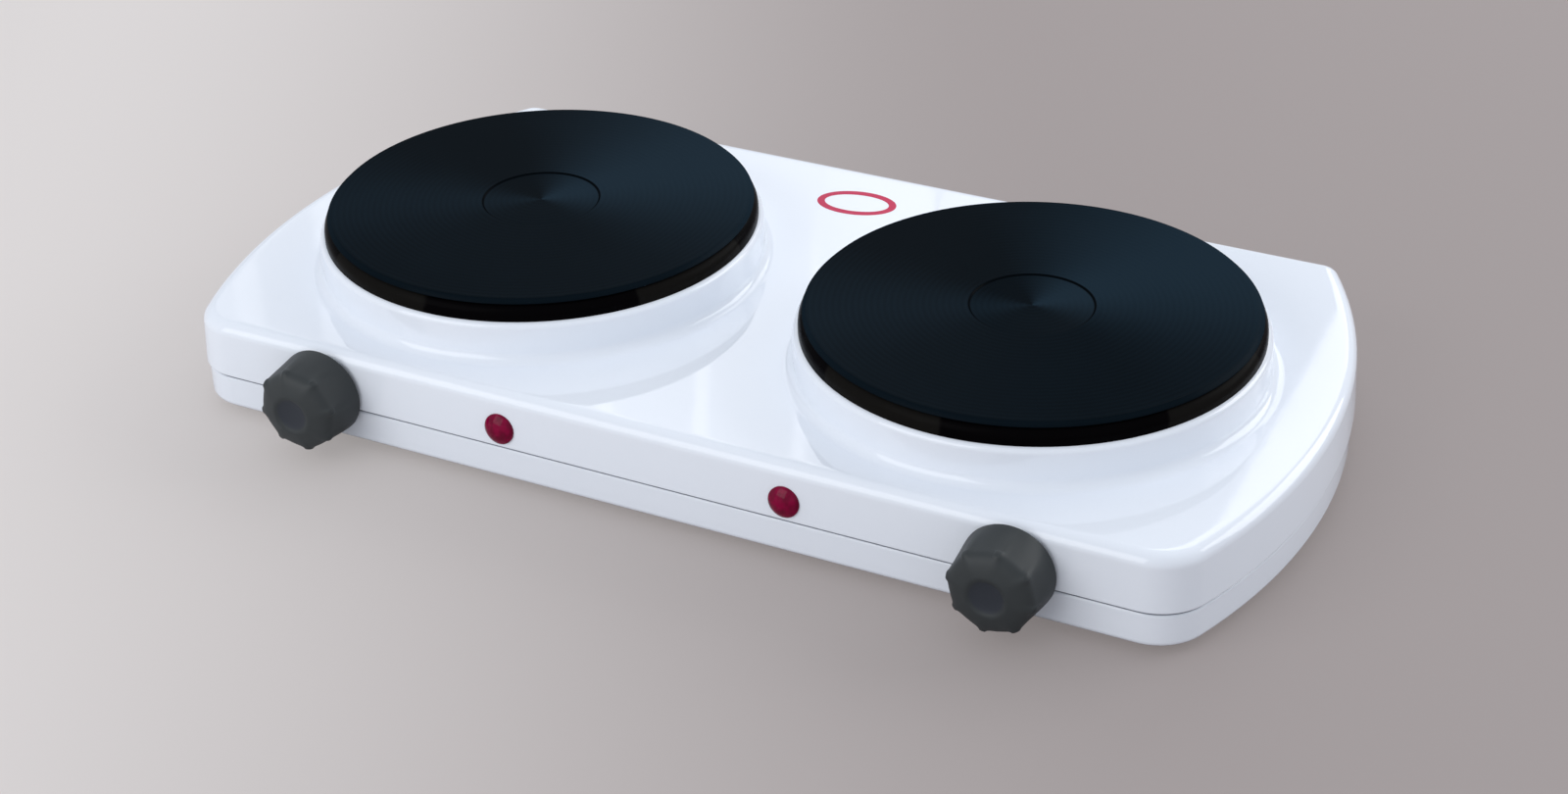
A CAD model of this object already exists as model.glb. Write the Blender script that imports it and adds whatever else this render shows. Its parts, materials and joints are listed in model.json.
"""Twin hot plate: the shape and surface of every piece, on the fixed construction frame."""

import json
from math import atan, atan2, ceil, cos, hypot, pi, radians, sin, sqrt, tan

import bmesh
import bpy
from bpy.props import FloatProperty, FloatVectorProperty, IntProperty, PointerProperty
from bpy.types import Operator, Panel, PropertyGroup
from mathutils import Matrix, Quaternion, Vector


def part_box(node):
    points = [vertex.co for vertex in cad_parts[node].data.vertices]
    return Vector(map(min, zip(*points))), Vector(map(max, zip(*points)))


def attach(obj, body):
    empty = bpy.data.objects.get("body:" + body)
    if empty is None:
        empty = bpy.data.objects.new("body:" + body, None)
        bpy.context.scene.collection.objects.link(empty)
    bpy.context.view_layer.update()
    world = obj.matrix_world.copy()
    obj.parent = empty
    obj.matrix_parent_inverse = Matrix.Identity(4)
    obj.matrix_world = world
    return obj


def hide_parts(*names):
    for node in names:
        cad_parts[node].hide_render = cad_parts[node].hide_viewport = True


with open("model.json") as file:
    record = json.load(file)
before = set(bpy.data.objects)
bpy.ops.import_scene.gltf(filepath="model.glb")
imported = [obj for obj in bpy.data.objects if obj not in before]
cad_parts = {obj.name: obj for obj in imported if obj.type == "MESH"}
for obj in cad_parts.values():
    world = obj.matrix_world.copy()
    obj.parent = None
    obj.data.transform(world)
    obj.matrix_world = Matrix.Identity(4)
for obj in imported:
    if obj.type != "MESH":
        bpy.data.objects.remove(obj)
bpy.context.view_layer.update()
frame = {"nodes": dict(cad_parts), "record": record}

bl_info = {
    "name": "Twin Hot Plate",
    "version": (1, 0, 0),
    "blender": (4, 5, 0),
    "location": "3D View > Sidebar > Hot Plate",
    "description": "Models an enamelled twin hot plate on its construction frame",
    "category": "Add Mesh",
}

MM = 0.001
NEAR = 1e-6  # points closer than this, in metres, are one
SIDES = ("left", "right")


def mm(*rows):
    """Rows of millimetres as rows of metres."""
    return [tuple(value * MM for value in row) for row in rows]


def middle(node):
    """The middle of a node's box."""
    low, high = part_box(node)
    return (low + high) / 2


COVER_LOW, COVER_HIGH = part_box("top_cover")
BASE_LOW, BASE_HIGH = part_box("base_pan")
PLATE_LOW, PLATE_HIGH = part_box("left_hot_plate")
RING_LOW, RING_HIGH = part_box("left_spill_ring")
KNOB_LOW, KNOB_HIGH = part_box("left_knob")
KNOB_AXIS_Z = middle("left_knob").z

# Holes in the skirt for a spindle bush and two regulator screws: distance from the knob's axis and
# radius. Then the cable gland's hole, the play round a lens, and the screws through the floor.
REGULATOR_HOLES = mm((0, 4.4), (-12.5, 1.8), (12.5, 1.8))
GLAND_HOLE_R, LENS_PLAY, FLOOR_SCREW_R = 6.9 * MM, 0.3 * MM, 2.3 * MM
FLOOR_SCREW_X, FLOOR_SCREW_Y = mm((-195, 195, 0), (-79.65, 100.35))

# Gaps in the base's upstand: width, depth, height and height of the middle over the shelf.
REGULATOR_GAP, LAMP_GAP, GLAND_GAP = mm(
    (44, 24, 7, 2.4), (15.8, 5.4, 5, 2.55), (23.2, 6, 5.02, 2.51))

# Where the oval mark lies. The point that the camera looks at, how far off it is and its angles.
MARK_PLACE, VIEW_POINT = mm((-11.1, 99.6), (57.76, -106.46, 71))
VIEW_DISTANCE, VIEW_LENS = 1052.01 * MM, 63.583
VIEW_AZIMUTH, VIEW_HEIGHT, VIEW_ROLL = radians(27.82), radians(30.69), radians(-1.61)


def tint(red, green, blue):
    """A screen colour of 0 to 255 as the linear colour that sockets and properties take."""
    parts = [c / 255 for c in (red, green, blue)]
    return tuple(c / 12.92 if c <= 0.04045 else ((c + 0.055) / 1.055) ** 2.4 for c in parts)


# ---- Sizes and colours that can be set ----


def length(name, description, default):
    """A size, with its default in millimetres, shown in the scene's unit of length."""
    return FloatProperty(name=name, description=description, default=default * MM,
                         min=0, unit="LENGTH", subtype="DISTANCE", precision=4)


def rotation(name, description, default):
    """An angle, with its default in degrees."""
    return FloatProperty(name=name, description=description, default=radians(default),
                         min=-pi, max=pi, subtype="ANGLE")


def colour(name, description, red, green, blue):
    """A surface colour."""
    return FloatVectorProperty(name=name, description=description, size=3, subtype="COLOR",
                               min=0, max=1, default=tint(red, green, blue))


class CasingSizes(PropertyGroup):
    deck_z: length("Deck height", "Height of the deck over the table", 44.4)
    edge_r: length("Edge radius", "Radius where the deck turns down into the skirt", 6)
    flare: length("Skirt flare", "How far the skirt splays out at its lower edge", 1.2)
    sheet: length("Sheet", "Thickness of the enamelled sheet", 0.8)
    hem: length("Hem", "Width of the hem turned in under the skirt", 2.6)
    fold_r: length("Fold radius", "Radius of the fold along the skirt's lower edge", 0.9)
    end_r: length("End radius", "Radius of the bowed ends", 264.6)
    end_forward: length("End forward", "How far in front of the middle the ends bow most", 16.85)
    front_r: length("Front corners", "Corner radius at the front", 21.9)
    rear_r: length("Rear corners", "Corner radius at the rear", 8.5)
    collar_r: length("Collar radius", "Outer radius of a raised collar", 96.5)
    collar_fillet: length("Collar fillet", "Radius where a collar meets the deck", 4.5)
    collar_edge_r: length("Collar edge", "Radius along the top of a collar", 2.5)
    collar_lip: length("Collar lip", "Width of the lip turned in at the top of a collar", 8)
    base_inset: length("Base inset", "How far the base sits inside the skirt", 1)
    base_edge_r: length("Base edge", "Radius along the bottom of the base", 2.5)
    shoulder_r: length("Base shoulder", "Radius along the top edge of the base", 1.5)
    seam_gap: length("Seam gap", "Gap between the hem and the base", 0.6)
    upstand_in: length("Upstand inset", "How far the upstand lies inside the outline", 1.7)
    slot_l: length("Slot length", "Length of a ventilation slot", 60)
    slot_w: length("Slot width", "Width of a ventilation slot", 4)
    slot_pitch: length("Slot pitch", "Distance between ventilation slots", 10)
    slot_count: IntProperty(name="Slots", description="Ventilation slots under each plate",
                            default=9, min=1, max=15)


class PlateSizes(PropertyGroup):
    chamfer: length("Chamfer", "Chamfer round the top of a plate", 1.6)
    body_r: length("Body radius", "Radius of the plate below its rim", 86.5)
    recess_h: length("Recess", "Depth of the recess for the heating coils", 9)
    boss_r: length("Boss radius", "Radius of the boss that takes the stud", 20)
    wall: length("Wall", "Thickness of the wall round the recess", 5)
    stud_r: length("Stud hole", "Radius of the blind stud hole", 3.05)
    stud_h: length("Stud hole depth", "Depth of the blind stud hole", 10)
    hollow_r: length("Hollow radius", "Radius of the sunk middle", 25)
    hollow_h: length("Hollow depth", "Depth of the sunk middle", 0.6)
    groove_pitch: length("Groove pitch", "Distance between the turned grooves", 2.6)
    groove_h: length("Groove depth", "Depth of the turned grooves", 0.05)
    ring_sheet: length("Ring sheet", "Thickness of the sheet of a spill ring", 0.7)
    ring_bend: length("Ring bend", "Radius along the top of a spill ring", 5)


class KnobSizes(PropertyGroup):
    grip_r: length("Grip radius", "Radius of the grip along its ridges", 17.9)
    rib_h: length("Rib height", "How far a rib stands out of its ridge", 0.7)
    dish_r: length("Dish radius", "Radius of the fingertip dish", 7.4)
    wall: length("Wall", "Thickness of the knob's wall", 2.4)
    hub_r: length("Hub radius", "Radius of the hub inside the knob", 5.6)
    bore_r: length("Bore radius", "Radius of the bore for the spindle", 3.05)
    ribs: IntProperty(name="Ribs", description="Ribs round the grip", default=8, min=4, max=16)
    left_turn: rotation("Left knob's turn", "Turn of the left knob's ribs from the right's", 21)
    facet: FloatProperty(name="Facets", description="How flat the grip is between its ribs",
                         default=0.65, min=0, max=1, subtype="FACTOR")


class LampSizes(PropertyGroup):
    height: length("Lamp height", "Height of the lamps over the table", 28.6)
    lens_r: length("Lens radius", "Radius of a lamp lens", 6.7)
    flange: length("Lens flange", "Thickness of the flange of a lens", 0.8)
    dome_h: length("Lens dome", "Height of the dome of a lens", 2.8)
    barrel_r: length("Barrel radius", "Radius of the lens barrel behind the skirt", 4.9)
    barrel_l: length("Barrel length", "Length of the lens barrel", 12)
    bore_r: length("Bore radius", "Radius of the bore for the neon lamp", 3.7)
    mark_w: length("Mark width", "Width of the printed oval ring", 36.7)
    mark_d: length("Mark depth", "Depth of the printed oval ring, front to back", 22.9)
    mark_line: length("Mark line", "Width of the line of the printed oval ring", 3.4)
    mark_turn: rotation("Mark turn", "How far the oval is turned on the deck", 8)


class Colours(PropertyGroup):
    enamel: colour("Enamel", "Vitreous enamel of the casing", 237, 242, 249)
    iron: colour("Cast iron", "Blacked cast iron of the plates", 13, 23, 30)
    ring: colour("Spill ring", "Black enamel of the spill rings", 5, 4, 5)
    knob: colour("Knob", "Thermoset plastic of the knobs", 50, 54, 55)
    lens: colour("Lens", "Ruby plastic of the lamp lenses", 122, 0, 48)
    mark: colour("Mark", "Printed oval ring on the deck", 200, 30, 78)
    floor_light: colour("Floor, light end", "The pale floor on the left", 226, 221, 219)
    floor_dark: colour("Floor, dark end", "The pale floor on the right", 168, 160, 159)


# ---- Modelling by hand: selecting, drawing sections, sweeping and cutting ----


def pick(*pieces):
    """Selects these objects only, out of edit mode; the first becomes the active one."""
    if bpy.context.object and bpy.context.object.mode != "OBJECT":
        bpy.ops.object.mode_set(mode="OBJECT")
    bpy.ops.object.select_all(action="DESELECT")
    for piece in reversed(pieces):
        piece.select_set(True)
        bpy.context.view_layer.objects.active = piece


def choose(piece, kind, test=lambda at, part: True):
    """Selects the vertices, edges or faces whose middle passes a test, in edit mode."""
    if piece.mode != "EDIT":
        pick(piece)
        bpy.ops.object.mode_set(mode="EDIT")
    bpy.ops.mesh.select_mode(type=kind)
    bpy.ops.mesh.select_all(action="DESELECT")
    net = bmesh.from_edit_mesh(piece.data)
    if kind == "VERT":
        found = [v for v in net.verts if test(v.co, v)]
    elif kind == "EDGE":
        found = [e for e in net.edges if test((e.verts[0].co + e.verts[1].co) / 2, e)]
    else:
        found = [f for f in net.faces if test(f.calc_center_median(), f)]
    for part in found:
        part.select = True
    net.select_flush_mode()
    bmesh.update_edit_mesh(piece.data)


def extrude(offset=(0, 0, 0)):
    """Extrudes what is selected, which leaves the new part selected."""
    bpy.ops.mesh.extrude_region_move(TRANSFORM_OT_translate={"value": offset})


def draw_section(name, place, corners, closed=False, steps=6):
    """Draws a section corner by corner and rounds the corners that give a radius.

    place turns (out, up) into a point. The section is left selected in edit mode."""
    points = [Vector(place(c[0], c[1])) for c in corners]
    pick()
    bpy.ops.mesh.primitive_plane_add(size=MM)
    piece = bpy.context.object
    piece.name = piece.data.name = name
    bpy.ops.object.mode_set(mode="EDIT")
    bpy.ops.mesh.select_mode(type="VERT")
    bpy.ops.mesh.merge(type="CENTER")
    bpy.ops.transform.translate(value=points[0])
    for here, there in zip(points, points[1:]):
        extrude(there - here)
    if closed:
        ends = (points[0], points[-1])
        choose(piece, "VERT", lambda at, _: min((at - e).length for e in ends) < NEAR)
        bpy.ops.mesh.edge_face_add()
    for i, corner in enumerate(corners):
        if len(corner) > 2:
            before, after = points[i - 1], points[(i + 1) % len(points)]
            bend = (points[i] - before).angle(after - points[i])
            choose(piece, "VERT", lambda at, _: (at - points[i]).length < NEAR)
            bpy.ops.mesh.bevel(offset=corner[2] * tan(bend / 2), affect="VERTICES",
                               offset_type="OFFSET", segments=max(2, ceil(bend / pi * 2 * steps)))
    bpy.ops.mesh.select_all(action="SELECT")
    return piece


def turn(centre, axis, angle, steps):
    """Spins the selected section anticlockwise about an axis that points at the viewer."""
    bpy.ops.mesh.spin(steps=steps, angle=-angle, center=centre, axis=axis)


def close_seams(piece):
    """Merges doubled points and turns every face outwards."""
    choose(piece, "VERT")
    bpy.ops.mesh.remove_doubles(threshold=NEAR)
    bpy.ops.mesh.normals_make_consistent(inside=False)
    pick(piece)


def lathe(name, centre, axis, corners, steps=128, closed=False, rounding=6):
    """A turned piece: a section of (radius, height along the axis) corners spun right round."""
    centre, axis = Vector(centre), Vector(axis).normalized()
    out = axis.orthogonal().normalized()
    piece = draw_section(name, lambda r, h: centre + out * r + axis * h, corners, closed, rounding)
    turn(centre, axis, 2 * pi, steps)
    close_seams(piece)
    return piece


def lathe_over(node, name, corners, **settings):
    """A turned piece on the upright axis through a node's middle."""
    at = middle(node)
    return lathe(name, (at.x, at.y, 0), (0, 0, 1), corners, **settings)


def modify(piece, kind, **settings):
    """Adds a modifier and applies it."""
    pick(piece)
    modifier = piece.modifiers.new(kind, kind)
    for name, value in settings.items():
        setattr(modifier, name, value)
    bpy.ops.object.modifier_apply(modifier=modifier.name)


def join(first, *others):
    """Joins pieces into the first."""
    pick(first, *others)
    bpy.ops.object.join()
    return first


def copy_of(piece, name):
    """A copy with its own mesh."""
    pick(piece)
    bpy.ops.object.duplicate()
    copy = bpy.context.object
    copy.name = copy.data.name = name
    return copy


def cut(piece, cutter):
    """Takes a cutter's shape out of a piece and deletes the cutter."""
    modify(piece, "BOOLEAN", object=cutter, operation="DIFFERENCE", solver="EXACT")
    pick(cutter)
    bpy.ops.object.delete()


def drill(radius, start, end):
    """A cutter for a round hole between two points."""
    start, end = Vector(start), Vector(end)
    pick()
    turned = (end - start).to_track_quat("Z", "Y").to_euler()
    bpy.ops.mesh.primitive_cylinder_add(vertices=48, radius=radius, depth=(end - start).length,
                                        location=(start + end) / 2, rotation=turned)
    return bpy.context.object


def block(size, place):
    """A box of a given size about a point."""
    pick()
    bpy.ops.mesh.primitive_cube_add(size=1, scale=size, location=place)
    return bpy.context.object


def complete(piece, body, finish, nodes=(), sharp=35, weighted=True):
    """Sets a finished piece's shading, material and place in the frame."""
    pick(piece)
    bpy.ops.object.transform_apply()
    bpy.ops.object.shade_smooth_by_angle(angle=radians(sharp))
    if weighted:
        modify(piece, "WEIGHTED_NORMAL", mode="FACE_AREA", weight=50, keep_sharp=True)
    piece.data.materials.clear()
    piece.data.materials.append(finish)
    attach(piece, body)
    if nodes:
        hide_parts(*nodes)


# ---- Shader maths ----


class Socket:
    """One output of a node. Arithmetic on it adds Math nodes."""

    def __init__(self, nodes, output):
        self.nodes, self.output = nodes, output

    def maths(self, operation, *values):
        """An operation on this output; values are the operation's further inputs."""
        return self.nodes.node("Math", {"operation": operation}, self, *values)

    def __add__(self, other):
        return self.maths("ADD", other)

    def __sub__(self, other):
        return self.maths("SUBTRACT", other)

    def __rsub__(self, other):
        return self.nodes.node("Math", {"operation": "SUBTRACT"}, other, self)

    def __mul__(self, other):
        return self.maths("MULTIPLY", other)

    def __pow__(self, other):
        return self.maths("POWER", other)

    __radd__, __rmul__ = __add__, __mul__

    def between(self, low, high):
        """0 below low, 1 above high, and a smooth step from one to the other."""
        return self.nodes.node("MapRange", {"interpolation_type": "SMOOTHSTEP"},
                               Value=self, **{"From Min": low, "From Max": high})


class Nodes:
    """The nodes of a material or a world."""

    def __init__(self, owner):
        owner.use_nodes = True
        self.tree = owner.node_tree

    def plug(self, socket, value):
        """Sets a socket's value, or links it to another node's output."""
        if isinstance(value, Socket):
            self.tree.links.new(value.output, socket)
        else:
            socket.default_value = value

    def node(self, kind, settings, *values, output=0, inputs=(), **named):
        """Adds a node: its settings, then what its sockets take, in order, by number or name."""
        made = self.tree.nodes.new("ShaderNode" + kind)
        for name, value in settings.items():
            setattr(made, name, value)
        for key, value in [*enumerate(values), *inputs, *named.items()]:
            self.plug(made.inputs[key], value)
        return Socket(self, made.outputs[output])


class Finish(Nodes):
    """A procedural material, with the helpers that its patterns share."""

    def __init__(self, name):
        self.material = bpy.data.materials.new(name)
        super().__init__(self.material)
        self.surface = self.tree.nodes["Principled BSDF"]
        self.place = self.node("TexCoord", {}, output="Object")

    def noise(self, size, detail=2.0, roughness=0.5, stretch=(1, 1, 1)):
        """Soft noise from 0 to 1, with features of about the given size in metres."""
        at = self.node("Mapping", {}, Vector=self.place, Scale=stretch)
        return self.node("TexNoise", {}, Vector=at, Scale=1 / size, Detail=detail,
                         Roughness=roughness)

    def mix(self, factor, first, second):
        """A colour between two colours."""
        pair = [c if isinstance(c, Socket) else (*c[:3], 1) for c in (first, second)]
        return self.node("Mix", {"data_type": "RGBA", "clamp_factor": True}, output=2,
                         inputs=zip((0, 6, 7), (factor, *pair)))

    def around(self, centre, flat=(1, 1, 0)):
        """Distance from an axis through a point; flat is 0 along the axis."""
        shift = [-c * f for c, f in zip(centre, flat)]
        at = self.node("Mapping", {}, Vector=self.place, Location=shift, Scale=flat)
        return self.node("VectorMath", {"operation": "LENGTH"}, at, output="Value")

    def axis(self, name):
        """One coordinate of the surface point, in metres."""
        return self.node("SeparateXYZ", {}, self.place, output=name)

    def bearing(self, centre):
        """The angle round an upright axis through a point, from -pi to pi."""
        along = self.axis("Y") - centre[1]
        return along.maths("ARCTAN2", self.axis("X") - centre[0])

    def bump(self, height, distance, strength, under=None):
        """A bump from a height of 0 to 1, over another bump if one is given."""
        more = {"Normal": under} if under else {}
        return self.node("Bump", {}, Height=height, Distance=distance, Strength=strength, **more)

    def mottle(self, tone, first, share, second, dark, pale):
        """A tone between two factors of itself, by a share of one noise and the rest of another."""
        return self.mix(first * share + second * (1 - share), shade(tone, dark), shade(tone, pale))

    def set(self, **sockets):
        """Sets or links the surface's sockets by name, with _ for a space."""
        for name, value in sockets.items():
            self.plug(self.surface.inputs[name.replace("_", " ")], value)
        return self.material


def shade(tone, factor):
    """A colour made darker or lighter by a factor."""
    return tuple(min(1.0, c * factor) for c in tone[:3])


def enamel_finish(name, tone, seam_z):
    """Glossy vitreous enamel: a faint ripple and soft cloudiness, worn thin along the seam."""
    f = Finish(name)
    whole = (f.axis("Z") - seam_z).maths("ABSOLUTE").between(0.45 * MM, 0.85 * MM)
    cloud, fine = f.noise(0.06, 3), f.noise(0.0011, 2)
    ripple = f.bump(f.noise(0.011, 1.0), 0.00002, 0.5)
    return f.set(
        Base_Color=f.mix(whole, tint(62, 74, 100), f.mottle(tone, cloud, 0.6, fine, 0.975, 1.015)),
        Roughness=0.03 + 0.03 * f.noise(0.02, 2),
        Normal=f.bump(fine, 0.000004, 0.4, ripple),
        IOR=1.52, Specular_IOR_Level=0.5,
    )


def iron_finish(name, tone, centre, sizes):
    """Blacked cast iron, turned: its fine grooves show as fans of paler metal about the axis."""
    f = Finish(name)
    radius, bearing = f.around(centre), f.bearing(centre)
    rings = (radius * (2 * pi / sizes.groove_pitch)).maths("SINE") * 0.5 + 0.5
    grain, patches = f.noise(0.0009, 4, 0.7), f.noise(0.03, 3)
    wear = (rings - 0.5) * 0.08 + (grain - 0.5) * 0.1 + (patches - 0.5) * 0.1 + 0.07
    for middle_at, narrow, amount in ((52, 2.4, 0.95), (206, 9, 0.3), (152, 4, -0.1)):
        facing = (bearing - radians(middle_at)).maths("COSINE").maths("MAXIMUM", 0)
        wear = facing ** narrow * amount + wear
    off_line = (radius - (sizes.hollow_r + sizes.hollow_h / 2)).maths("ABSOLUTE")
    return f.set(
        Base_Color=f.mix(off_line.between(0.2 * MM, 0.7 * MM), shade(tone, 0.25),
                         f.mix(wear, shade(tone, 0.55), shade(tone, 2.6))),
        Roughness=0.3 + 0.1 * grain + 0.05 * rings,
        Normal=f.bump(grain, 0.00003, 0.5, f.bump(rings, 0.00003, 0.5)),
        Specular_IOR_Level=0.0, Coat_Weight=0.03, Coat_Roughness=0.25,
    )


def ring_finish(name, tone, centre):
    """Black enamel on the spill rings, burnt brown by spills on either side of the front."""
    f = Finish(name)
    bearing = f.bearing(centre) + f.noise(0.012, 2) * 0.06
    stains, soft = 0.0, 0.02
    for start, end in ((radians(-125), radians(-88)), (radians(-33), radians(4))):
        past = bearing.between(end, end + soft)
        stains = bearing.between(start, start + soft) * (1 - past) + stains
    fine, burnt = f.noise(0.0013, 2), (tone[0] * 5.4, tone[1] * 6.2, tone[2] * 4.4)
    return f.set(
        Base_Color=f.mix(stains * (0.8 + 0.2 * f.noise(0.01, 3)), tone, burnt),
        Roughness=0.2 + 0.1 * f.noise(0.006, 2) + 0.03 * fine,
        Normal=f.bump(fine, 0.000008, 0.5, f.bump(f.noise(0.009, 1.0), 0.00008, 0.5)),
        Specular_IOR_Level=0.01,
    )


def plastic_finish(name, tone):
    """Moulded plastic: a fine spark-eroded grain and a cloudy change of gloss."""
    f = Finish(name)
    speck, cloud = f.noise(0.00035, 3, 0.6), f.noise(0.012, 3)
    return f.set(
        Base_Color=f.mottle(tone, speck, 0.35, cloud, 0.86, 1.14),
        Roughness=0.4 + 0.1 * cloud + 0.05 * speck,
        Normal=f.bump(speck, 0.00002, 0.6), Specular_IOR_Level=0.4,
    )


def knob_finish(name, tone, centre):
    """Thermoset plastic with a fine matt grain, polished darker and bluer in the dish."""
    f = Finish(name)
    radius, depth = f.around(centre, (1, 0, 1)), f.axis("Y") - (centre[1] + 4 * MM)
    dish = (1 - radius.between(6 * MM, 7.6 * MM)) * (1 - depth.between(0, 1 * MM))
    speck, cloud = f.noise(0.00035, 3, 0.6), f.noise(0.012, 3)
    polished = (tone[0] * 0.78, tone[1] * 0.8, tone[2])
    return f.set(
        Base_Color=f.mix(dish, f.mottle(tone, speck, 0.35, cloud, 0.88, 1.12), polished),
        Roughness=0.42 + 0.1 * cloud + 0.05 * speck,
        Normal=f.bump(speck, 0.00002, 0.6), Specular_IOR_Level=0.3,
    )


def lens_finish(name, tone):
    """Ruby plastic with the paler core of the lamp behind it and a clear polished skin."""
    f = Finish(name)
    cloud, fine = f.noise(0.004, 2), f.noise(0.0006, 2)
    return f.set(
        Base_Color=f.mix(cloud.between(0.35, 0.65), shade(tone, 0.7), shade(tone, 1.15)),
        Roughness=0.12 + 0.08 * cloud,
        Normal=f.bump(fine, 0.000005, 0.4),
        Coat_Weight=0.2, Coat_Roughness=0.05, Specular_IOR_Level=0.04,
    )


def print_finish(name, tone):
    """Fired-on red print, slightly uneven in its density."""
    f = Finish(name)
    fine, cloud = f.noise(0.0005, 3), f.noise(0.005, 2)
    return f.set(
        Base_Color=f.mottle(tone, fine, 0.5, cloud, 0.9, 1.1),
        Roughness=0.3 + 0.1 * fine,
        Normal=f.bump(fine, 0.000008, 0.5), Specular_IOR_Level=0.2,
    )


def metal_finish(name, tone, roughness):
    """Plated or drawn metal: brushed streaks over a cloudy plating."""
    f = Finish(name)
    streak, cloud = f.noise(0.0016, 4, 0.6, stretch=(1, 1, 14)), f.noise(0.02, 3)
    return f.set(
        Base_Color=f.mottle(tone, streak, 0.6, cloud, 0.8, 1.12),
        Roughness=roughness - 0.08 + 0.2 * streak + 0.08 * cloud,
        Normal=f.bump(streak, 0.00003, 0.4), Metallic=1.0,
    )


def ceramic_finish(name, tone):
    """Unglazed steatite: pressed grain with a few darker specks."""
    f = Finish(name)
    grain, speck = f.noise(0.0008, 4, 0.65), f.noise(0.0025, 5, 0.75)
    return f.set(
        Base_Color=f.mix(speck.between(0.3, 0.62), shade(tone, 0.8), tone),
        Roughness=0.62 + 0.2 * grain, Normal=f.bump(grain, 0.00008, 0.6),
    )


def rubber_finish(name, tone, roughness):
    """Rubber or silicone: dull, with a fine moulded bloom."""
    f = Finish(name)
    bloom, grain = f.noise(0.006, 3), f.noise(0.0006, 3, 0.6)
    return f.set(
        Base_Color=f.mottle(tone, bloom, 0.6, grain, 0.82, 1.2),
        Roughness=roughness + 0.16 * grain, Normal=f.bump(grain, 0.00004, 0.5),
        Specular_IOR_Level=0.35,
    )


def glass_finish(name, tone):
    """Clear lamp glass, faintly clouded by its coating."""
    f = Finish(name)
    cloud = f.noise(0.003, 2)
    return f.set(
        Base_Color=f.mix(cloud, shade(tone, 0.85), tone),
        Roughness=0.05 + 0.1 * cloud, Transmission_Weight=0.6, IOR=1.45,
    )


# ---- Making the pieces and the stage ----


class Plan:
    """Where the straight sides and the arcs of the casing's right half begin and end."""

    def __init__(self, sizes):
        self.front, self.rear = COVER_LOW.y + sizes.flare, COVER_HIGH.y - sizes.flare
        self.end = Vector((COVER_HIGH.x - sizes.flare - sizes.end_r,
                           (self.front + self.rear) / 2 - sizes.end_forward, 0))
        self.front_corner = self.corner(sizes.end_r - sizes.front_r, self.front + sizes.front_r)
        self.rear_corner = self.corner(sizes.end_r - sizes.rear_r, self.rear - sizes.rear_r)
        self.low = self.bearing(self.front_corner)
        self.high = self.bearing(self.rear_corner)

    def corner(self, reach, y):
        """The middle of a corner's arc, by its distance from the end arc's middle."""
        return Vector((self.end.x + sqrt(reach ** 2 - (y - self.end.y) ** 2), y, 0))

    def bearing(self, corner):
        """The direction from the end arc's middle to a corner's."""
        return atan2(corner.y - self.end.y, corner.x - self.end.x)

    def point(self, out, up):
        """A point of a section, on the middle of the front."""
        return (0, self.front - out, up)

    def sweep(self, piece):
        """Takes the selected section round the right half, and mirrors it to the left."""
        extrude((self.front_corner.x, 0, 0))
        for centre, angle, steps in ((self.front_corner, self.low + pi / 2, 14),
                                     (self.end, self.high - self.low, 30),
                                     (self.rear_corner, pi / 2 - self.high, 12)):
            turn(centre, (0, 0, 1), angle, steps)
        extrude((-self.rear_corner.x, 0, 0))
        modify(piece, "MIRROR", use_clip=True, merge_threshold=NEAR)


def close_level(piece, z):
    """Fills the flat sheet between all open edges at one height, and turns it outwards."""
    choose(piece, "EDGE", lambda at, e: e.is_boundary and abs(at.z - z) < NEAR
           and abs(e.verts[0].co.z - z) < NEAR)
    bpy.ops.mesh.fill(use_beauty=False)
    close_seams(piece)


def face_out(piece, z, upward):
    """Turns an open shell over if its sheet at one height faces the wrong way."""
    faces = [p for p in piece.data.polygons if abs(p.center.z - z) < NEAR]
    if sum(p.normal.z * p.area for p in faces) * (1 if upward else -1) < 0:
        choose(piece, "FACE")
        bpy.ops.mesh.flip_normals()
        pick(piece)


def skirt_normal(sizes):
    """The direction that the front of the splayed skirt faces."""
    lean = atan(sizes.flare / (sizes.deck_z - sizes.edge_r - COVER_LOW.z))
    return Vector((0, -cos(lean), sin(lean)))


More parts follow.
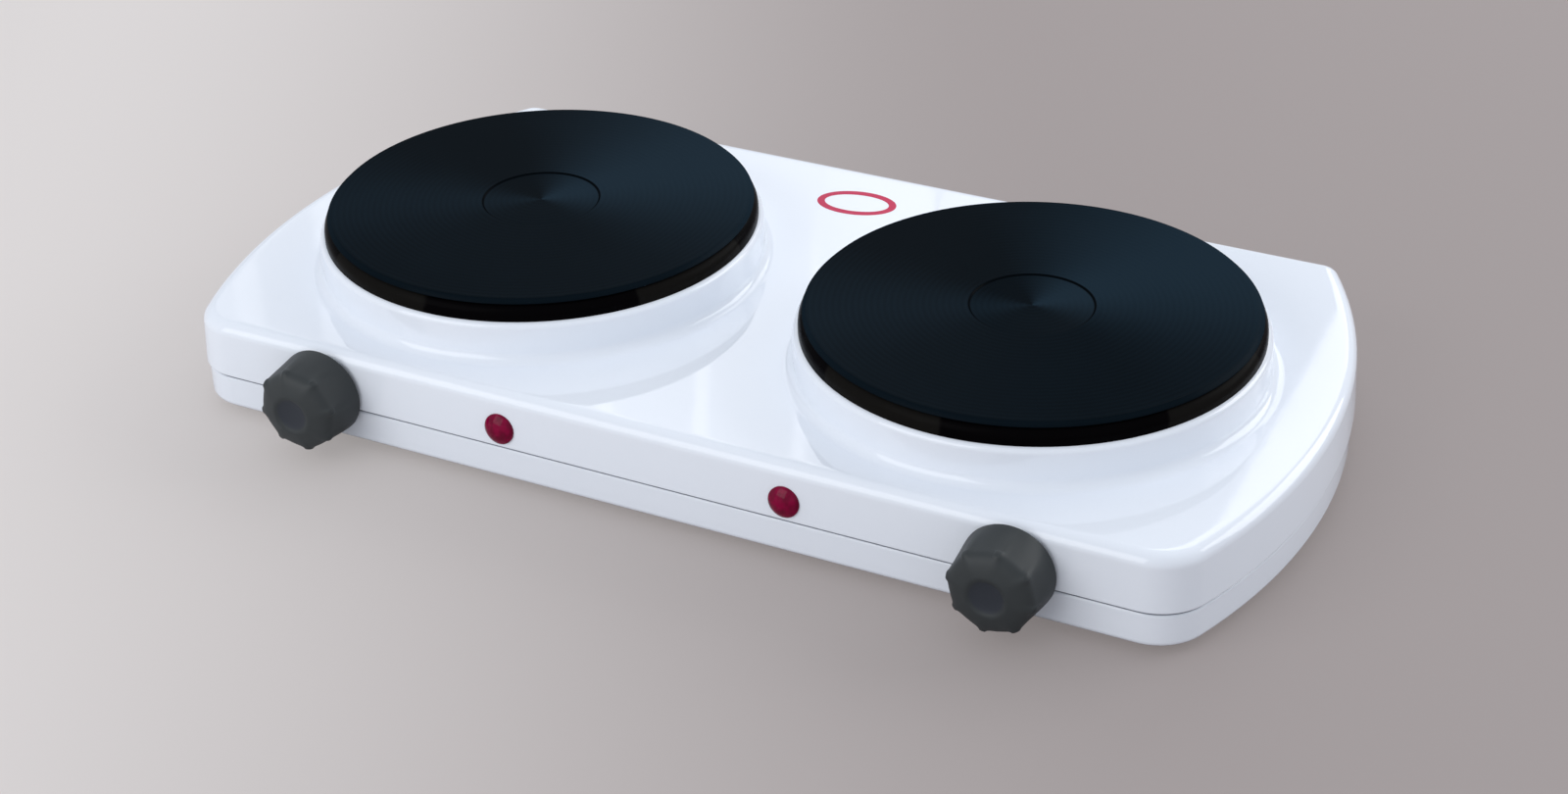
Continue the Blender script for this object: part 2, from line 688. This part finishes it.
class HOTPLATE_OT_cover(Operator):
    """Press the top cover: skirt, deck and the two raised collars, with its holes"""

    bl_idname = "hotplate.cover"
    bl_label = "Top Cover"

    def execute(self, context):
        s = context.scene.hotplate_casing
        plan = Plan(s)
        seam, collar_z, border = COVER_LOW.z, COVER_HIGH.z, 1 * MM
        cover = draw_section("enamelled_cover", plan.point, [
            (-s.edge_r - border, s.deck_z), (0, s.deck_z, s.edge_r * 0.94),
            (s.flare, seam, s.fold_r), (s.flare - s.hem, seam)], steps=8)
        plan.sweep(cover)
        foot = s.collar_r + s.collar_fillet
        for side in SIDES:
            collar = lathe_over(side + "_hot_plate", side + "_collar", [
                (foot + border, s.deck_z), (s.collar_r, s.deck_z, s.collar_fillet),
                (s.collar_r, collar_z, s.collar_edge_r),
                (s.collar_r - s.collar_lip, collar_z)], steps=160, rounding=8)
            join(cover, collar)
        close_level(cover, s.deck_z)
        face_out(cover, s.deck_z, upward=True)
        modify(cover, "SOLIDIFY", thickness=s.sheet, offset=-1, use_even_offset=True)
        level, lamps, reach = Vector((0, -1, 0)), context.scene.hotplate_lamps, 6 * MM
        gland = middle("cable_gland")
        holes = [(GLAND_HOLE_R, (gland.x, plan.rear, gland.z), level)]
        for side in SIDES:
            knob, lamp = middle(side + "_knob"), middle(side + "_lamp_lens")
            holes += [(radius, (knob.x + shift, plan.front, KNOB_AXIS_Z), level)
                      for shift, radius in REGULATOR_HOLES]
            holes.append((lamps.barrel_r + LENS_PLAY, (lamp.x, plan.front, lamps.height),
                          skirt_normal(s)))
        cutters = [drill(radius, Vector(at) - axis * reach, Vector(at) + axis * reach)
                   for radius, at, axis in holes]
        cut(cover, join(*cutters))
        complete(cover, "casing", finishes["enamel"], ["top_cover"], sharp=30)
        return {"FINISHED"}


class HOTPLATE_OT_base(Operator):
    """Press the base pan: floor, wall, shoulder, shelf and upstand, with its slots and holes"""

    bl_idname = "hotplate.base"
    bl_label = "Base Pan"

    def execute(self, context):
        s = context.scene.hotplate_casing
        plan = Plan(s)
        wall, floor, shelf = s.flare - s.base_inset, BASE_LOW.z, COVER_LOW.z - s.seam_gap
        base = draw_section("enamelled_base", plan.point, [
            (wall - s.base_edge_r - MM, floor), (wall, floor, s.base_edge_r),
            (wall, shelf, s.shoulder_r), (-s.upstand_in, shelf, 0.25 * MM),
            (-s.upstand_in, BASE_HIGH.z)])
        plan.sweep(base)
        close_level(base, floor)
        face_out(base, floor, upward=False)
        modify(base, "SOLIDIFY", thickness=s.sheet, offset=-1, use_even_offset=True)
        cutters = []
        for side in SIDES:
            at = middle(side + "_hot_plate")
            first_x = at.x - (s.slot_count - 1) / 2 * s.slot_pitch
            slot = block((s.slot_w, s.slot_l, 4 * MM), (first_x, at.y, floor))
            bpy.ops.object.transform_apply()
            choose(slot, "EDGE", lambda mid, e: abs(mid.z - floor) < NEAR)
            bpy.ops.mesh.bevel(offset=s.slot_w * 0.499, segments=8, affect="EDGES")
            modify(slot, "ARRAY", count=s.slot_count, use_relative_offset=False,
                   use_constant_offset=True, constant_offset_displace=(s.slot_pitch, 0, 0))
            cutters.append(slot)
            inside = plan.front - wall + s.sheet
            for node, (*size, up) in (("_knob", REGULATOR_GAP), ("_lamp_lens", LAMP_GAP)):
                place = (middle(side + node).x, inside + size[1] / 2, shelf + up)
                cutters.append(block(size, place))
        cutters += [drill(FLOOR_SCREW_R, (x, y, floor - MM), (x, y, floor + 2 * MM))
                    for x in FLOOR_SCREW_X for y in FLOOR_SCREW_Y]
        *size, up = GLAND_GAP
        place = (middle("cable_gland").x, plan.rear - size[1] / 2, shelf + up)
        cutters.append(block(size, place))
        cut(base, join(*cutters))
        complete(base, "casing", finishes["enamel_base"], ["base_pan"], sharp=30)
        return {"FINISHED"}


class HOTPLATE_OT_plates(Operator):
    """Turn the two cast iron plates, with their fine grooves and sunk middles"""

    bl_idname = "hotplate.plates"
    bl_label = "Hot Plates"

    def execute(self, context):
        s = context.scene.hotplate_plates
        rim_z, top, under = RING_HIGH.z, PLATE_HIGH.z, PLATE_LOW.z
        outer = (PLATE_HIGH.x - PLATE_LOW.x) / 2
        recess, blind = s.body_r - s.wall, under + s.stud_h
        first, last = outer - s.chamfer - 1.6 * MM, s.hollow_r + s.hollow_h + 0.9 * MM
        # Whole grooves from the rim to the sunk middle, each deepest halfway.
        count = round((first - last) / s.groove_pitch)
        step = (first - last) / count
        grooves = [(first - (i + half) * step, top - 2 * half * s.groove_h)
                   for i in range(count) for half in (0, 0.5)]
        section = [
            (0, blind), (s.stud_r, blind), (s.stud_r, under),
            (s.boss_r, under), (s.boss_r, under + s.recess_h), (recess, under + s.recess_h),
            (recess, under), (s.body_r, under, 0.5 * MM), (s.body_r, rim_z),
            (outer - 0.15 * MM, rim_z), (outer, rim_z + 0.15 * MM),
            (outer, top - s.chamfer, 0.25 * MM), (outer - s.chamfer, top, 0.4 * MM),
            *grooves, (last, top), (s.hollow_r + s.hollow_h, top, 0.15 * MM),
            (s.hollow_r, top - s.hollow_h, 0.15 * MM), (0, top - s.hollow_h)]
        for side in SIDES:
            plate = lathe_over(side + "_hot_plate", side + "_iron_plate", section, steps=180,
                               rounding=5)
            complete(plate, "casing", finishes[side + "_iron"],
                     [side + "_hot_plate"], sharp=40, weighted=False)
        return {"FINISHED"}


class HOTPLATE_OT_rings(Operator):
    """Press the two spill rings that close the gap between plate and collar"""

    bl_idname = "hotplate.rings"
    bl_label = "Spill Rings"

    def execute(self, context):
        s = context.scene.hotplate_plates
        outer = (RING_HIGH.x - RING_LOW.x) / 2
        inner, top, t = s.body_r + 0.3 * MM, RING_HIGH.z, s.ring_sheet
        foot, low = COVER_HIGH.z, RING_LOW.z
        for side in SIDES:
            ring = lathe_over(side + "_spill_ring", side + "_pressed_ring", [
                (outer, foot), (outer, top, s.ring_bend), (inner, top, 0.3 * MM), (inner, low),
                (inner + t, low), (inner + t, top - t), (outer - t, top - t, s.ring_bend - t),
                (outer - t, foot)], steps=180, closed=True)
            complete(ring, "casing", finishes[side + "_ring"],
                     [side + "_spill_ring"])
        return {"FINISHED"}


class HOTPLATE_OT_knobs(Operator):
    """Mould the two knobs: a round skirt, a tapering grip with ribs, and a dished face"""

    bl_idname = "hotplate.knobs"
    bl_label = "Knobs"

    # Columns of faces per rib, and where the first rib stands, in ribs. The height where the
    # facets start, and the height they take to reach full depth.
    COLUMNS, FIRST_RIB = 10, -0.2
    FACETS_FROM, FACETS_FADE = 3 * MM, 12 * MM

    def execute(self, context):
        s = context.scene.hotplate_knobs
        full_r, full_l = (KNOB_HIGH.x - KNOB_LOW.x) / 2, KNOB_HIGH.y - KNOB_LOW.y
        axis_x = middle("left_knob").x
        centre = Vector((axis_x, KNOB_HIGH.y, KNOB_AXIS_Z))
        hub_l, web_l, dish_u = 17 * MM, 18.5 * MM, full_l - 1.5 * MM
        inside = [(0, hub_l), (s.bore_r, hub_l), (s.bore_r, 0), (s.hub_r, 0), (s.hub_r, web_l),
                  (13.1 * MM, web_l), (full_r - s.wall, 0), (full_r, 0, 0.5 * MM)]
        skirt = [(full_r, 1.6 * MM), (full_r - 0.2 * MM, 5 * MM),
                 *mm((18.65, 9), (18.45, 12), (18.3, 14))]
        ribbed = [(18.1 * MM, 16 * MM), (s.grip_r, 17.6 * MM), (s.grip_r - 1.1 * MM, 19.3 * MM)]
        shoulder = mm((15, 20.6), (12.3, 21.6))
        face = [(9.6 * MM, full_l - 0.25 * MM), (s.dish_r + 1.3 * MM, full_l),
                (s.dish_r + 0.3 * MM, full_l - 0.12 * MM), (s.dish_r - 0.6 * MM, full_l - 0.8 * MM),
                (4.6 * MM, dish_u + 0.25 * MM), (2.4 * MM, dish_u + 0.05 * MM), (0, dish_u)]
        knob = lathe("left_moulded_knob", centre, (0, -1, 0),
                     inside + skirt + ribbed + shoulder + face,
                     steps=self.COLUMNS * s.ribs, rounding=4)
        self.shape(knob, centre, s, skirt[1:] + ribbed + shoulder, ribbed)
        modify(knob, "SUBSURF", levels=1, render_levels=1)
        right = copy_of(knob, "right_moulded_knob")
        choose(right, "VERT")
        bpy.ops.transform.translate(value=(middle("right_knob").x - axis_x, 0, 0))
        choose(knob, "VERT")
        bpy.ops.transform.rotate(value=s.left_turn, orient_axis="Y", center_override=centre)
        for side, piece in (("left", knob), ("right", right)):
            complete(piece, side + "_knob", finishes[side + "_knob"],
                     [side + "_knob"], sharp=60, weighted=False)
        return {"FINISHED"}

    def shape(self, knob, centre, s, rings, ribbed):
        """Flattens rings of points between the ribs and draws the ribs out of the last ones."""
        sector = 2 * pi / s.ribs
        step = sector / self.COLUMNS

        def off_rib(at):
            """Angle from the nearest rib."""
            around = (atan2(at.z - centre.z, at.x - centre.x) - self.FIRST_RIB * sector) % sector
            return min(around, sector - around)

        def radius(at):
            return hypot(at.x - centre.x, at.z - centre.z)

        def on_ring(at, up):
            return abs(centre.y - at.y - up) < 0.05 * MM

        def resize(share):
            bpy.ops.transform.resize(value=(share, 1, share), center_override=centre)

        for ring_r, up in rings:
            amount = s.facet * min(1, (up - self.FACETS_FROM) / self.FACETS_FADE)
            for column in range(2, self.COLUMNS // 2 + 1):
                choose(knob, "VERT", lambda at, _: on_ring(at, up)
                       and abs(radius(at) - ring_r) < 0.4 * MM
                       and abs(off_rib(at) - column * step) < step / 4)
                chord = cos(sector / 2) / cos(sector / 2 - column * step)
                resize(1 - amount * (1 - chord))
        start, end = ribbed[0][1], ribbed[-1][1]
        choose(knob, "FACE", lambda at, _: off_rib(at) < step and radius(at) > 15 * MM
               and start < centre.y - at.y < end)
        extrude()
        for ring_r, up in ribbed:
            choose(knob, "VERT", lambda at, point: on_ring(at, up)
                   and off_rib(at) < 1.5 * step and self.raised(point, off_rib, step))
            resize(1 + s.rib_h * min(1, 0.3 + (up - start) / (end - start)) / ring_r)

    @staticmethod
    def raised(vertex, off_rib, step):
        """True for a point on top of a rib, whose faces all lie within the rib's width."""
        return all(off_rib(f.calc_center_median()) < 1.01 * step for f in vertex.link_faces)


class HOTPLATE_OT_lamps(Operator):
    """Mould the two ruby pilot lamp lenses, square to the sloping skirt"""

    bl_idname = "hotplate.lamps"
    bl_label = "Pilot Lamps"

    def execute(self, context):
        s, casing = context.scene.hotplate_lamps, context.scene.hotplate_casing
        crease = casing.deck_z - casing.edge_r
        stand = casing.flare * (crease - s.height) / (crease - COVER_LOW.z)
        front = COVER_LOW.y + casing.flare
        dome_r = (s.lens_r ** 2 + s.dome_h ** 2) / (2 * s.dome_h)
        top, rise = s.flange + s.dome_h, atan2(s.lens_r, dome_r - s.dome_h)
        bends = [rise * (1 - i / 9) for i in range(1, 9)]
        dome = [(dome_r * sin(bend), top - dome_r * (1 - cos(bend))) for bend in bends]
        for side in SIDES:
            centre = (middle(side + "_lamp_lens").x, front - stand, s.height)
            lens = lathe(side + "_ruby_lens", centre, skirt_normal(casing), [
                (0, 0), (s.bore_r, 0), (s.bore_r, -s.barrel_l), (s.barrel_r, -s.barrel_l, 0.3 * MM),
                (s.barrel_r, 0), (s.lens_r, 0), (s.lens_r, s.flange, 0.35 * MM), *dome,
                (0, top)], steps=72)
            complete(lens, "casing", finishes["lens"], [side + "_lamp_lens"],
                     weighted=False)
        return {"FINISHED"}


class HOTPLATE_OT_mark(Operator):
    """Print the plain oval ring on the deck between the plates"""

    bl_idname = "hotplate.mark"
    bl_label = "Oval Mark"

    def execute(self, context):
        s, deck = context.scene.hotplate_lamps, context.scene.hotplate_casing.deck_z
        place = Vector((*MARK_PLACE, deck))
        pick()
        bpy.ops.mesh.primitive_circle_add(vertices=128, radius=s.mark_w / 2, location=place)
        mark = bpy.context.object
        mark.name = mark.data.name = "printed_oval"
        bpy.ops.object.mode_set(mode="EDIT")
        bpy.ops.transform.resize(value=(1, s.mark_d / s.mark_w, 1), center_override=place)
        extrude()
        bpy.ops.transform.resize(value=(1 - 2 * s.mark_line / s.mark_w,
                                        1 - 2 * s.mark_line / s.mark_d, 1), center_override=place)
        bpy.ops.mesh.select_all(action="SELECT")
        extrude((0, 0, 0.05 * MM))
        bpy.ops.mesh.select_all(action="SELECT")
        bpy.ops.transform.rotate(value=-s.mark_turn, orient_axis="Z", center_override=place)
        close_seams(mark)
        complete(mark, "casing", finishes["mark"])
        return {"FINISHED"}


class HOTPLATE_OT_inner_parts(Operator):
    """Finish the parts that keep their construction shape: fixings, wiring, feet and gland"""

    bl_idname = "hotplate.inner_parts"
    bl_label = "Inner Parts"

    def execute(self, context):
        slots = {row["node"]: row["material_slot"] for row in frame["record"]["subparts"]}
        for node, piece in frame["nodes"].items():
            piece.data.materials.clear()
            piece.data.materials.append(finishes.get(slots[node], finishes["zinc_plated_steel"]))
        return {"FINISHED"}


class HOTPLATE_OT_stage(Operator):
    """Set the pale floor, the soft studio light and the camera"""

    bl_idname = "hotplate.stage"
    bl_label = "Stage"

    def execute(self, context):
        self.floor(context.scene.hotplate_colours)
        self.lights(context.scene)
        self.camera(context.scene)
        return {"FINISHED"}

    def floor(self, colours):
        """Paper that darkens across the view; the camera sees half of its colour as glow."""
        pick()
        bpy.ops.mesh.primitive_plane_add(size=14)
        ground = bpy.context.object
        ground.name = "floor"
        f, black = Finish("floor_paper"), (0.0, 0.0, 0.0)
        across = f.node("VectorMath", {"operation": "DOT_PRODUCT"}, f.place,
                        (cos(VIEW_AZIMUTH), sin(VIEW_AZIMUTH), 0), output="Value")
        paper = f.mix(across.between(-0.42, 0.16), colours.floor_light, colours.floor_dark)
        half = f.mix(0.5, black, paper)
        seen = f.node("LightPath", {}, output="Is Camera Ray")
        f.set(Base_Color=f.mix(seen, paper, half),
              Emission_Color=f.mix(seen, black, f.mix(0.93, black, half)),
              Emission_Strength=1.0, Roughness=0.9, Specular_IOR_Level=0.0,
              Normal=f.bump(f.noise(0.002), 0.00002, 0.3))
        ground.data.materials.append(f.material)

    def lights(self, scene):
        """A dim cool room with soft boxes round the back and one at the front."""
        scene.world = bpy.data.worlds.new("studio")
        w = Nodes(scene.world)
        w.tree.nodes.remove(w.tree.nodes["Background"])
        light = w.node("Background", {}, Color=(0.9, 0.945, 1.03, 1), Strength=0.7)
        seen = w.node("Background", {}, Color=(*tint(190, 185, 186), 1))
        camera_ray = w.node("LightPath", {}, output="Is Camera Ray")
        w.plug(w.tree.nodes["World Output"].inputs["Surface"],
               w.node("MixShader", {}, camera_ray, light, seen))
        self.card("end_card", (0.074, 1.3, 0.93), (0.5, 0.9), 1.8, roll=-14.5)
        for i, brightness in enumerate((0.5, 0.5, 0.6, 0.7, 0.8, 0.8, 1.0, 1.1, 0.9)):
            self.card(f"rear_card_{i + 1}", (-1.44 + 0.12 * i, 1.3, 0.93), (0.12, 0.6),
                      brightness, towards=-0.3)
        self.card("front_card", (-0.8, -1.8, 1.15), (1.8, 1.5), 2.0)
        self.card("side_card", (1.5, 1.5, 1.0), (1.6, 1.2), 3.0)

    def card(self, name, place, size, brightness, towards=0.0, roll=0.0):
        """A soft box, by the brightness of its face; it faces the part at a given x."""
        pick()
        place = Vector(place)
        facing = (place - Vector((towards, 0, 0.05))).to_track_quat("Z", "Y")
        turned = (facing @ Quaternion((0, 0, 1), radians(roll))).to_euler()
        bpy.ops.object.light_add(type="AREA", location=place, rotation=turned)
        lamp = bpy.context.object
        lamp.name = lamp.data.name = name
        lamp.data.shape, lamp.data.size, lamp.data.size_y = "RECTANGLE", size[0], size[1]
        lamp.data.energy = brightness * pi * size[0] * size[1]

    def camera(self, scene):
        """A camera at a distance from the point it looks at, turned round that point."""
        pick()
        bpy.ops.object.camera_add()
        camera = bpy.context.object
        camera.name = "camera"
        place = Matrix.Translation(VIEW_POINT)
        for angle, axis in ((VIEW_AZIMUTH, "Z"), (pi / 2 - VIEW_HEIGHT, "X"), (VIEW_ROLL, "Z")):
            place @= Matrix.Rotation(angle, 4, axis)
        camera.matrix_world = place @ Matrix.Translation((0, 0, VIEW_DISTANCE))
        camera.data.sensor_width, camera.data.lens = 36, VIEW_LENS
        camera.data.clip_start, camera.data.clip_end = 0.05, 50
        scene.camera = camera
        scene.view_settings.view_transform = "Standard"


class HOTPLATE_PT_sidebar(Panel):
    """Lists the pieces in the order in which they are made"""

    bl_idname = "HOTPLATE_PT_sidebar"
    bl_label = "Twin Hot Plate"
    bl_space_type = "VIEW_3D"
    bl_region_type = "UI"
    bl_category = "Hot Plate"

    def draw(self, context):
        for group in GROUPS:
            box = self.layout.box()
            owner = getattr(context.scene, "hotplate_" + group)
            box.label(text=group.capitalize())
            for name in owner.__annotations__:
                box.prop(owner, name)
        for step in STEPS:
            self.layout.operator(step.bl_idname)


GROUPS = {"casing": CasingSizes, "plates": PlateSizes, "knobs": KnobSizes, "lamps": LampSizes,
          "colours": Colours}
STEPS = (HOTPLATE_OT_stage, HOTPLATE_OT_cover, HOTPLATE_OT_base, HOTPLATE_OT_plates,
         HOTPLATE_OT_rings, HOTPLATE_OT_knobs, HOTPLATE_OT_lamps, HOTPLATE_OT_mark,
         HOTPLATE_OT_inner_parts)
finishes = {}

# Material slot of the construction: its kind of finish, its name and its screen colour, then the
# roughness where the kind takes one.
INNER_FINISHES = {
    "ceramic_body": (ceramic_finish, "steatite", (232, 226, 210)),
    "coil_wire": (metal_finish, "resistance_wire", (150, 146, 140), 0.45),
    "zinc_plated_steel": (metal_finish, "zinc_plating", (186, 190, 196), 0.36),
    "bright_steel": (metal_finish, "bright_steel", (205, 207, 210), 0.26),
    "brass_parts": (metal_finish, "brass", (214, 180, 104), 0.3),
    "black_plastic": (plastic_finish, "black_plastic", (34, 34, 37)),
    "lamp_glass": (glass_finish, "lamp_glass", (225, 228, 232)),
    "foot_rubber": (rubber_finish, "foot_rubber", (38, 38, 40), 0.6),
    "brown_lead": (rubber_finish, "brown_sleeving", (122, 60, 42), 0.45),
    "blue_lead": (rubber_finish, "blue_sleeving", (58, 78, 142), 0.45),
    "white_lead": (rubber_finish, "white_sleeving", (218, 217, 206), 0.45),
    "green_lead": (rubber_finish, "green_sleeving", (96, 158, 74), 0.45),
}


def make_finishes(scene):
    """Mixes the material of every piece, the visible ones from the chosen colours."""
    c, plates = scene.hotplate_colours, scene.hotplate_plates
    seam_z = COVER_LOW.z - scene.hotplate_casing.seam_gap / 2
    finishes["enamel"] = enamel_finish("white_enamel", c.enamel, seam_z)
    finishes["enamel_base"] = enamel_finish("white_enamel_base", c.enamel, seam_z)
    finishes["lens"] = lens_finish("ruby_plastic", c.lens)
    finishes["mark"] = print_finish("red_print", c.mark)
    for side in SIDES:
        iron, ring, knob = side + "_iron", side + "_ring", side + "_knob"
        centre = middle(side + "_hot_plate")
        finishes[iron] = iron_finish(side + "_cast_iron", c.iron, centre, plates)
        finishes[ring] = ring_finish(ring + "_enamel", c.ring, centre)
        face = (middle(knob).x, KNOB_LOW.y, KNOB_AXIS_Z)
        finishes[knob] = knob_finish(knob + "_plastic", c.knob, face)
    for slot, (kind, name, screen, *roughness) in INNER_FINISHES.items():
        finishes[slot] = kind(name, tint(*screen), *roughness)


def register():
    for made in (*GROUPS.values(), *STEPS, HOTPLATE_PT_sidebar):
        bpy.utils.register_class(made)
    for name, made in GROUPS.items():
        setattr(bpy.types.Scene, "hotplate_" + name, PointerProperty(type=made))


def unregister():
    for name in GROUPS:
        delattr(bpy.types.Scene, "hotplate_" + name)
    for made in (HOTPLATE_PT_sidebar, *STEPS, *GROUPS.values()):
        bpy.utils.unregister_class(made)


def main():
    register()
    make_finishes(bpy.context.scene)
    for step in STEPS:
        name = step.bl_idname.removeprefix("hotplate.")
        if getattr(bpy.ops.hotplate, name)() != {"FINISHED"}:
            raise RuntimeError(step.bl_label + " wasn't finished")


if __name__ == "__main__":
    main()
